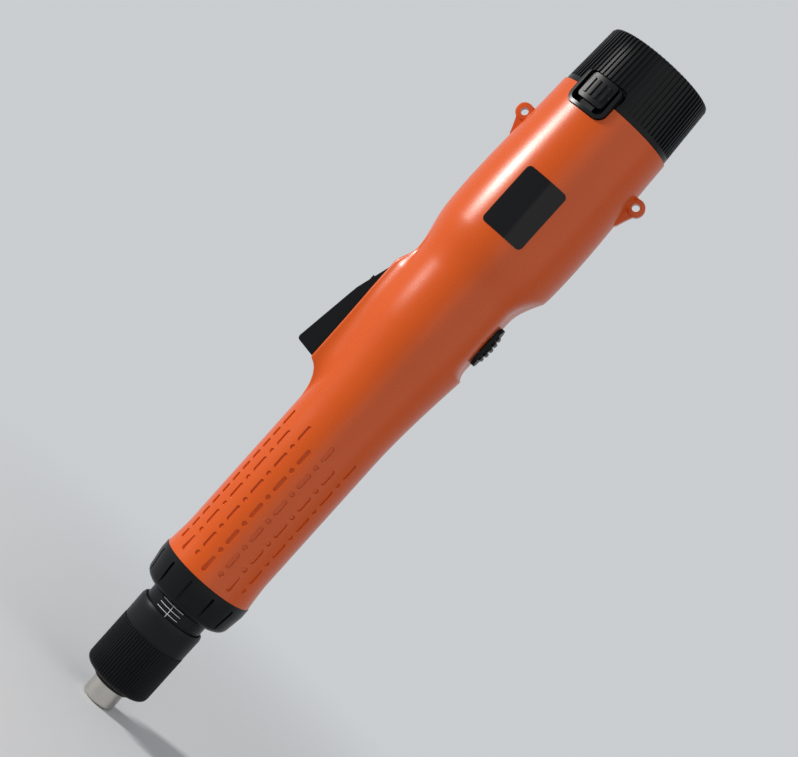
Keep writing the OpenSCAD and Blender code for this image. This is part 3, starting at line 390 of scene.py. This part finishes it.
def rounded(width, y0, y1, r, count=7):
    """A rectangle with round corners: a quarter circle at each."""
    a = np.linspace(0, np.pi / 2, count)
    arc = np.stack([r * np.cos(a), r * np.sin(a)], -1)
    corners = []
    for turn, x, y in ((0, 1, 1), (1, -1, 1), (2, -1, -1), (3, 1, -1)):
        c, s = round(math.cos(turn * math.pi / 2)), round(math.sin(turn * math.pi / 2))
        middle = [x * (width / 2 - r), y1 - r if y > 0 else y0 + r]
        corners.append(arc @ np.array([[c, s], [-s, c]]) + middle)
    return np.concatenate(corners)


def facing(angle, radius=0.0):
    """Places an outline upright, facing outwards at an angle round the tool: X round, Y up."""
    turn = Matrix.Rotation(math.radians(angle), 4, "Z")
    outward = Matrix(((0, 0, 1, radius), (1, 0, 0, 0), (0, 1, 0, 0), (0, 0, 0, 1)))
    return turn @ outward


def crosswise(x, z=0.0, sense=1):
    """Places a turned shape at (x, 0, z) with its axis across the parting plane."""
    return Matrix.Translation((x, 0, z)) @ Matrix.Rotation(sense * math.pi / 2, 4, "X")


SIDEWAYS = Matrix(((1, 0, 0, 0), (0, 0, -1, 0), (0, 1, 0, 0), (0, 0, 0, 1)))
print("slot outline", stadium(6.5, 1.6).shape)

# %% [markdown]
# The grip's pattern is seven lines on each half, a line every 18 degrees. Neighbouring lines
# swap slots and dots, and the line next to the lever has short slots. Each recess is a small
# loft with a slanted rim, and the rim is what catches a thread of light. On the far half the
# pattern leaves room for the screws.

# %% Grip pattern
PITCH = 12.75  # from one slot to the next in a line
GRIP_START = TIP + 68.8
LINE_STEP = 18  # degrees between lines
SLOT, DOT, SHORT = (6.6, 1.55), (1.9, 1.85), (4.0, 1.5)  # length and width
SHORT_SLOTS = 10
SCREW_CLEAR = 5.5  # from a screw's middle to the nearest recess


def recess(angle, level, length, width, depth=0.55):
    """A recess at one place on the grip: four copies of its outline, narrower towards the floor."""
    base = float(body_radius(level))
    steps = ((0.4, 0.75), (0.0, 0.3), (-0.16, 0.0), (-depth, -0.12))
    place = facing(angle)
    rings = []
    for out, grow in steps:
        flat = stadium(length + grow, width + grow)
        ring = np.column_stack([flat + [0, level], np.full(len(flat), base + out)])
        rings.append(ring)
    rings = np.asarray(rings[::-1]) @ np.asarray(place.to_3x3()).T
    return tube("recess", rings)


SCREWS = [(-12.2, -141), (12.2, -141), (-14, -59.6), (13.6, -59.6)]  # x and level


def far_from_screws(angle, level):
    """True if a recess at this place is clear of the screws, which go in from the far side."""
    x = float(body_radius(level)) * math.cos(math.radians(angle))
    return angle > 180 or all(math.hypot(x - sx, level - sz) > SCREW_CLEAR for sx, sz in SCREWS)


def pattern_line(angle, kind):
    """The recesses of one line: slots and dots by turns, or short slots and one long one."""
    half_step = PITCH / 2
    end = GRIP_START + 4.5 * PITCH
    if kind == "short":
        step = (end - GRIP_START - 2.3) / SHORT_SLOTS
        spots = [(GRIP_START + 1 + step * i, *SHORT) for i in range(SHORT_SLOTS)]
        spots.append((end, SLOT[0], SHORT[1]))
    else:
        shift = half_step if kind == "dot" else 0
        spots = [(GRIP_START + shift + PITCH * i, *SLOT) for i in range(5)]
        dots = 5 if kind == "dot" else 4
        spots += [(GRIP_START + half_step - shift + PITCH * i, *DOT) for i in range(dots)]
    return [recess(angle, *spot) for spot in spots if far_from_screws(angle, spot[0])]


lines = []
for middle, towards_lever in ((270, -1), (90, 1)):
    for i in range(-3, 4):
        kind = "short" if i == 3 else ("slot" if i % 2 == 0 else "dot")
        lines += pattern_line(middle + LINE_STEP * i * towards_lever, kind)
pattern = joined("pattern", lines)
print("pattern faces", len(pattern.data.polygons))

# %% [markdown]
# The ears are flat lugs with a raised eye. The web sweeps down to the barrel on the nose side,
# so that a hook's pull runs into the wall.

# %% Ears
EAR_X = abs(frame["record"]["mounts"][1]["pos_m"][0]) / MM


def ear(side):
    """A lug on one side: a swept web with softened edges, and a round eye with a raised rim."""
    t = np.linspace(0, 1, 12)
    edge = np.stack([EAR_X + 3.45 * (1 - t) - 1.2 * t, -9.5 * t**1.4], -1)
    outline = np.concatenate([[[23.0, 3.2], [EAR_X + 1, 3.3]], edge, [[23.0, -12]]])
    outline = outline * [side, 1]
    web = loft("web", outline[::-side], -1.6, 1.6, SIDEWAYS)
    rim = [(3.45, 1.5), (3.3, 1.9), (2.9, 2.1), (0, 2.1)]
    rim = [(r, -depth) for r, depth in rim[::-1]] + rim
    eye = turned("eye", rim, 48, crosswise(side * EAR_X))
    return combine(web, eye, "UNION")


# %% [markdown]
# Every slot is a flat outline that stands facing outwards and runs from a depth inside to well
# beyond the skin. The seats inside are one turned profile, and the screws' seats are turned too.

# %% Body and its cuts
BEYOND = 60  # farther out than the skin
GEARS = high("gearbox_plate", 2)
FLOOR = low("contact_block", 2)
GEARBOX_R, MOTOR_R, BATTERY_R, WIRES_R = 15.62, 16.4, 21.9, 5
SCREW_SEAT = 9.4
LATCHES = (249, 69)
body = tube("body", skin)
for side in (-1, 1):
    combine(body, ear(side), "UNION")


def plate(half_width, z_low, z_high):
    """A slot's outline with square corners, from half its width and its two levels."""
    return [(-half_width, z_low), (half_width, z_low), (half_width, z_high), (-half_width, z_high)]


def cut_slot(outline, angle, depth, end=BEYOND):
    """Cuts an outline into the body at an angle, between two distances from the axis."""
    combine(body, loft("slot", outline, depth, end, facing(angle)), "DIFFERENCE")


seats = [
    (0, FRONT - 1), (GEARBOX_R, FRONT - 1), (GEARBOX_R, GEARS), (MOTOR_R, GEARS + 1),
    (MOTOR_R, FLOOR - 4), (WIRES_R, FLOOR - 4), (WIRES_R, FLOOR), (BATTERY_R, FLOOR),
    (BATTERY_R, SEAM + 1), (0, SEAM + 1),
]
combine(body, turned("seats", seats), "DIFFERENCE")
cut_slot(plate(high("lever", 1) + LEVER_GAP, LEVER_FRONT - 0.3, HINGE + 3.6), 180, 13.4)
stem = (low("direction_slider", 2) + high("direction_slider", 2)) / 2
cut_slot(rounded(3.6, stem - 5.8, stem + 5.8, 0.2), 0, 13)
for turn in LATCHES:
    cut_slot(rounded(17.9, SEAM - 7.6, SEAM + 9, 3.9), turn, 18.6)
    cut_slot(plate(3.3, SEAM - 9.6, SEAM + 1), turn, 20, 23.25)
for side in (-1, 1):
    hole = turned("hole", [(1.5, -9), (1.5, 9)], 40, crosswise(side * EAR_X))
    combine(body, hole, "DIFFERENCE")
combine(body, pattern, "DIFFERENCE")
for x, z in SCREWS:
    hole = turned("hole", [(2.5, SCREW_SEAT), (2.5, 40)], 32, crosswise(x, z, -1))
    combine(body, hole, "DIFFERENCE")
print("body faces", len(body.data.polygons))

# %% [markdown]
# The two mouldings meet on a plane, so the body is cut there into a near and a far half, with
# a hair's groove between them. Each half replaces the plain one that carries the collision.

# %% Halves
HAIR = 0.03  # each half stops this far from the parting plane


def half_of(side):
    """One half of the body: a box cuts it a hair from the parting plane."""
    blank = body.copy()
    blank.data = body.data.copy()
    bpy.context.scene.collection.objects.link(blank)
    keep = plate(BEYOND, FRONT - 40, SEAM + 40)
    keep = [keep[3], keep[0], keep[1], keep[2]]
    depths = (HAIR, BEYOND) if side < 0 else (-BEYOND, -HAIR)
    combine(blank, loft("keep", keep, *depths, SIDEWAYS), "INTERSECT")
    return blank


near = half_of(-1)
near.name = "housing_near_skin"
far = half_of(1)
far.name = "housing_far_skin"
bpy.data.objects.remove(body)
for piece, node in ((near, "near_housing"), (far, "far_housing")):
    soften(piece, 32)
    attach(piece, "housing")
    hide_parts(node)
print("near half", len(near.data.polygons), "faces; far half", len(far.data.polygons))


# %% [markdown]
# ## Finishes
#
# Every material is worked out from the piece's own coordinates, so it needs no pictures. Two
# small helpers keep the node trees readable. `Num` wraps a number inside a shader, so that
# `0.4 + grain * 0.1` builds the math nodes. `Finish` adds any other node in one call.


# %% Shader helpers
class Num:
    """A number in a shader. Arithmetic on it adds math nodes."""

    def __init__(self, socket):
        self.socket = socket

    @staticmethod
    def math(kind, *parts):
        """One math node on numbers or plain values."""
        tree = next(p.socket.id_data for p in parts if isinstance(p, Num))
        node = tree.nodes.new("ShaderNodeMath")
        node.operation = kind
        for place, part in zip(node.inputs, parts):
            if isinstance(part, Num):
                tree.links.new(part.socket, place)
            else:
                place.default_value = part
        return Num(node.outputs[0])

    def __add__(self, other):
        return Num.math("ADD", self, other)

    def __radd__(self, other):
        return Num.math("ADD", other, self)

    def __sub__(self, other):
        return Num.math("SUBTRACT", self, other)

    def __rsub__(self, other):
        return Num.math("SUBTRACT", other, self)

    def __mul__(self, other):
        return Num.math("MULTIPLY", self, other)

    def __rmul__(self, other):
        return Num.math("MULTIPLY", other, self)

    def __pow__(self, other):
        return Num.math("POWER", self, other)

    def clamp(self, low_end, high_end):
        return Num.math("MINIMUM", Num.math("MAXIMUM", self, low_end), high_end)


class Finish:
    """A material built on one Principled shader."""

    def __init__(self, name, constants=()):
        self.material = bpy.data.materials.new(name)
        self.material.use_nodes = True
        self.tree = self.material.node_tree
        self.tree.nodes.clear()
        self.shader = self.tree.nodes.new("ShaderNodeBsdfPrincipled")
        output = self.tree.nodes.new("ShaderNodeOutputMaterial")
        self.tree.links.new(self.shader.outputs[0], output.inputs[0])
        for socket, value in dict(constants).items():
            self.shader.inputs[socket].default_value = value
        self.place = self.node("ShaderNodeTexCoord").outputs["Object"]

    def node(self, kind, settings=(), inputs=()):
        """Any node: its type, its settings, then values or links for its sockets."""
        node = self.tree.nodes.new(kind)
        for key, value in dict(settings).items():
            setattr(node, key, value)
        for key, value in dict(inputs).items():
            value = value.socket if isinstance(value, Num) else value
            if isinstance(value, bpy.types.NodeSocket):
                self.tree.links.new(value, node.inputs[key])
            else:
                node.inputs[key].default_value = value
        return node

    def noise(self, scale, detail=2, stretch=(1, 1, 1)):
        """Soft noise from 0 to 1; scale counts its features per metre."""
        bent = self.node("ShaderNodeMapping", {}, {"Vector": self.place, "Scale": stretch})
        noise = self.node(
            "ShaderNodeTexNoise", {}, {"Vector": bent.outputs[0], "Scale": scale, "Detail": detail}
        )
        return Num(noise.outputs[0])

    def mix(self, share, a, b):
        """A colour between a and b."""
        mix = self.node("ShaderNodeMix", {"data_type": "RGBA"}, {0: share, 6: (*a, 1), 7: (*b, 1)})
        return mix.outputs[2]

    def bump(self, height, distance, strength=1.0):
        """A normal that follows a height from 0 to 1, as deep as distance in metres."""
        inputs = {"Height": height, "Distance": distance, "Strength": strength}
        return self.node("ShaderNodeBump", {}, inputs).outputs[0]

    def set(self, socket, value):
        value = value.socket if isinstance(value, Num) else value
        self.tree.links.new(value, self.shader.inputs[socket])


# %% [markdown]
# Moulded plastic carries the spark-eroded grain of its mould: a fine, even roughness. The
# colour varies by a few hundredths across the moulding, which keeps it from looking painted.
# The black pieces shine little, so that a pale room doesn't turn them grey.


# %% Plastics
def moulded(name, dark, light, rough, grain_mm=0.16, depth=0.000004, shine=0.5):
    """Satin moulded plastic: colour drifts between two tones, and grain breaks the shine."""
    f = Finish(name, {"IOR": 1.5, "Specular IOR Level": shine})
    drift = f.noise(38, 2)
    grain = f.noise(1000 / grain_mm, 3)
    f.set("Base Color", f.mix(drift, dark, light))
    f.set("Roughness", rough - 0.06 + grain * 0.08 + drift * 0.04)
    f.set("Normal", f.bump(grain, depth))
    return f.material


ORANGE = moulded("orange", (0.60, 0.078, 0.002), (0.66, 0.090, 0.003), 0.28, 0.4, 0.00003, 0.38)
BLACK = moulded("black_satin", (0.0045, 0.005, 0.006), (0.007, 0.0075, 0.0085), 0.33, shine=0.14)
GRIP = moulded("black_matt", (0.006, 0.0065, 0.0075), (0.009, 0.0095, 0.0105), 0.42, 0.25, shine=0.14)
SLEEK = moulded("black_smooth", (0.004, 0.0045, 0.0055), (0.006, 0.0065, 0.0075), 0.25, 0.1, 0.000002, 0.2)
PLATE = moulded("plate_gloss", (0.003, 0.003, 0.004), (0.005, 0.005, 0.0062), 0.13, 0.5, 0.000001, 0.2)
WHITE = moulded("white_marks", (0.62, 0.63, 0.64), (0.78, 0.79, 0.8), 0.55, 0.1)
print("plastics ready")

# %% [markdown]
# Turned metal has fine rings about its axis. Noise that is squeezed along the axis and left
# long around it gives those rings; brushing along a flat would stretch it the other way.


# %% Metals and inner materials
def turned_metal(name, tone, rough, rings=1.0):
    """Metal with turning marks: rings along Z that vary colour, shine and height."""
    f = Finish(name, {"Metallic": 1.0})
    ring = f.noise(60, 4, (0.4, 0.4, 90 * rings))
    stain = f.noise(160, 3)
    low_tone = tuple(v * 0.78 for v in tone)
    f.set("Base Color", f.mix(ring * 0.6 + stain * 0.4, low_tone, tone))
    f.set("Roughness", rough - 0.05 + ring * 0.1 + stain * 0.05)
    f.set("Normal", f.bump(ring, 0.00001))
    return f.material


def inner(name, dark, light, rough, metal=0.0, scale=400):
    """An inner material: two tones in soft patches, with a little wear in its shine."""
    f = Finish(name, {"Metallic": metal, "IOR": 1.5})
    patch = f.noise(scale, 4)
    f.set("Base Color", f.mix(patch, dark, light))
    f.set("Roughness", rough - 0.05 + patch * 0.1)
    return f.material


STEEL = turned_metal("steel", (0.62, 0.59, 0.55), 0.30)
BRONZE = turned_metal("bronze", (0.62, 0.42, 0.20), 0.32)
MAGNET = inner("magnet", (0.06, 0.06, 0.065), (0.1, 0.1, 0.105), 0.6, 0.6)
BOARD = inner("circuit_board", (0.02, 0.10, 0.045), (0.035, 0.15, 0.07), 0.35)
WRAP = inner("cell_wrap", (0.03, 0.10, 0.24), (0.05, 0.14, 0.30), 0.3)
FINISHES = {
    "orange_plastic": ORANGE, "black_plastic": BLACK, "steel": STEEL, "bronze": BRONZE,
    "magnet": MAGNET, "circuit_board": BOARD, "cell_wrap": WRAP,
}
OWN = {
    "torque_nut": GRIP, "label_plate": PLATE, "latch_bezels": SLEEK, "direction_slider": GRIP,
    "pack_cap": BLACK, "front_collar": BLACK, "thrust_collar": SLEEK,
}


# %% [markdown]
# The pieces come as loose triangles. Welding them lets light roll over round faces, and a split
# at sharp angles keeps the true edges crisp. On the pieces that fingers touch, a narrow bevel
# catches the light as a moulded edge does.


# %% Dress the pieces
def paint(obj, material):
    obj.data.materials.clear()
    obj.data.materials.append(material)


def dress(obj, bevel=0.0, angle=38):
    """Welds a piece, rounds its edges by a bevel in millimetres, and shades it smooth."""
    normals = obj.data.attributes.get("custom_normal")
    if normals:
        obj.data.attributes.remove(normals)
    obj.data.shade_smooth()
    weld = obj.modifiers.new("weld", "WELD")
    weld.merge_threshold = 0.000002
    if bevel:
        edge = obj.modifiers.new("edge", "BEVEL")
        edge.width = bevel * MM
        edge.segments = 2
        edge.limit_method = "ANGLE"
        edge.angle_limit = math.radians(angle)
        edge.use_clamp_overlap = False
        edge.harden_normals = True
    else:
        split = obj.modifiers.new("split", "EDGE_SPLIT")
        split.split_angle = math.radians(angle)


BEVELS = {
    "direction_slider": 0.15, "chuck_sleeve": 0.15, "latch_button_a": 0.12, "latch_button_b": 0.12,
}
slots = {part["node"]: part["material_slot"] for part in frame["record"]["subparts"]}
for name, obj in nodes.items():
    paint(obj, OWN.get(name, FINISHES[slots[name]]))
    dress(obj, BEVELS.get(name, 0.0))
for piece in (near, far):
    paint(piece, ORANGE)
print("dressed", len(nodes), "pieces")

# %% [markdown]
# ## Springs
#
# A coil can't bend in a rigid model. Each spring gets a mesh of its own, and the share of its
# length that it would keep when its joint moves, its length less the stroke, is worked out, but
# no coil is shortened here. The clutch spring has two strokes, of the nut and of the plate.


# %% Springs
def strokes():
    """The longer limit of each joint by name."""
    limits = {}
    for joint in frame["joints"]:
        reach = joint.get("range_m") or joint.get("range_deg")
        if reach:
            limits[joint["name"]] = max(abs(v) for v in reach)
    return limits


limits = strokes()
sleeve = nodes["sleeve_spring"]
lever_coil = nodes["lever_spring"]
z0, z1 = (v.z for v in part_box("sleeve_spring"))
1 - limits["chuck_slide"] / (z1 - z0)
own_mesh(sleeve)
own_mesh(lever_coil)
for letter, angle in zip("ab", LATCHES):
    outward = Vector((math.cos(math.radians(angle)), math.sin(math.radians(angle)), 0))
    coil = nodes["latch_spring_" + letter]
    reach = [Vector(v.co).dot(outward) for v in coil.data.vertices]
    stroke = limits["latch_press_" + letter]
    share = 1 - stroke / (max(reach) - min(reach))
    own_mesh(coil)
z0, z1 = (v.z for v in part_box("clutch_spring"))
stroke = limits["torque_travel"] + limits["clutch_slip"]
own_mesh(nodes["clutch_spring"], "torque_travel", (0, 0, 1), (0, 0, z0), 1 - stroke / (z1 - z0))

# %% [markdown]
# ## Scale marks
#
# The sleeve behind the torque nut carries a plain scale: one line along the tool and four arcs
# across it. Each mark is a thin curved patch, two hundredths of a millimetre proud.


# %% Scale marks
SCALE_R = 12.41  # a hundredth above the sleeve
MARK_T = 0.012
MARK_STEP = 1.8


def mark(a0, a1, z_low, z_high):
    """A patch of a cylinder between two angles in degrees and two levels, MARK_T thick."""
    n = max(3, int(abs(a1 - a0) / 2) + 2)
    a = np.radians(np.linspace(a0, a1, n))
    top = SCALE_R + MARK_T
    rows = []
    for r, level in ((SCALE_R, z_low), (top, z_low), (top, z_high), (SCALE_R, z_high)):
        rows.append(np.stack([r * np.cos(a), r * np.sin(a), np.full(n, level)], -1))
    return tube("mark", np.asarray(rows).transpose(1, 0, 2))


marks = [mark(270.0, 271.0, TIP + 41.0, TIP + 48.0)]
for k in range(4):
    level = TIP + 41.9 + MARK_STEP * k
    marks.append(mark(246, 292, level - 0.1, level + 0.1))
scale = joined("scale_marks", marks)
paint(scale, WHITE)
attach(scale, "housing")
print("scale", len(scale.data.polygons), "faces")

# %% [markdown]
# ## Floor and light
#
# A plain pale floor lies at the nose tip's level and fades into a background of the same tone.
# A small strong light comes from the lever's side and a little from the front, so the body
# shows a narrow highlight near that side. A broad one fills the rest from the other side.

# %% Stage
FLOOR_HALF = 900
SQUARE = ((-1, -1), (1, -1), (1, 1), (-1, 1))
corners = [(x * FLOOR_HALF, y * FLOOR_HALF, TIP - 0.3) for x, y in SQUARE]
floor = add_solid("floor", corners, [[0, 1, 2, 3]])


def fading(name, tone, start, end):
    """A matt floor that is solid within start metres of the nose and clear beyond end."""
    f = Finish(name, {"Roughness": 0.9, "Specular IOR Level": 0.2})
    speck = f.noise(300, 4)
    f.set("Base Color", f.mix(speck, tuple(v * 0.96 for v in tone), tone))
    apart = f.node("ShaderNodeSeparateXYZ", {}, {"Vector": f.place}).outputs
    distance = (Num(apart["X"]) * Num(apart["X"]) + Num(apart["Y"]) * Num(apart["Y"])) ** 0.5
    share = ((end - distance) * (1 / (end - start))).clamp(0, 1)
    f.set("Alpha", share * share * (3 - 2 * share))
    return f.material


paint(floor, fading("floor_pale", (0.80, 0.82, 0.84), start=0.06, end=0.34))


def soft_light(name, place, watts, size, tint):
    """A square area light that faces the middle of the tool."""
    data = bpy.data.lights.new(name, "AREA")
    data.energy = watts
    data.size = size
    data.color = tint
    lamp = bpy.data.objects.new(name, data)
    lamp.location = place
    aim = Vector((0, 0, -0.11)) - lamp.location
    lamp.rotation_mode = "QUATERNION"
    lamp.rotation_quaternion = aim.to_track_quat("-Z", "Y")
    bpy.context.scene.collection.objects.link(lamp)
    return lamp


soft_light("key", (-0.87, -0.30, 0.10), 9, 0.17, (1.0, 0.985, 0.96))
soft_light("fill", (0.70, -0.80, 0.25), 7.5, 2.0, (1.0, 0.98, 0.95))

LIT, SEEN_MORE = 0.27, 0.42  # strength on the object, and what the eye sees on top of it
world = bpy.data.worlds.new("world")
bpy.context.scene.world = world
world.use_nodes = True
sky = world.node_tree
sky.nodes.clear()
rays = sky.nodes.new("ShaderNodeLightPath")
seen = Num(rays.outputs["Is Camera Ray"]) + Num(rays.outputs["Is Glossy Ray"])
seen = (seen + Num(rays.outputs["Is Transmission Ray"])).clamp(0, 1)
strength = LIT + seen * SEEN_MORE
back = sky.nodes.new("ShaderNodeBackground")
back.inputs[0].default_value = (0.86, 0.89, 0.92, 1)
sky.links.new(strength.socket, back.inputs[1])
out = sky.nodes.new("ShaderNodeOutputWorld")
sky.links.new(back.outputs[0], out.inputs[0])
print("stage set")
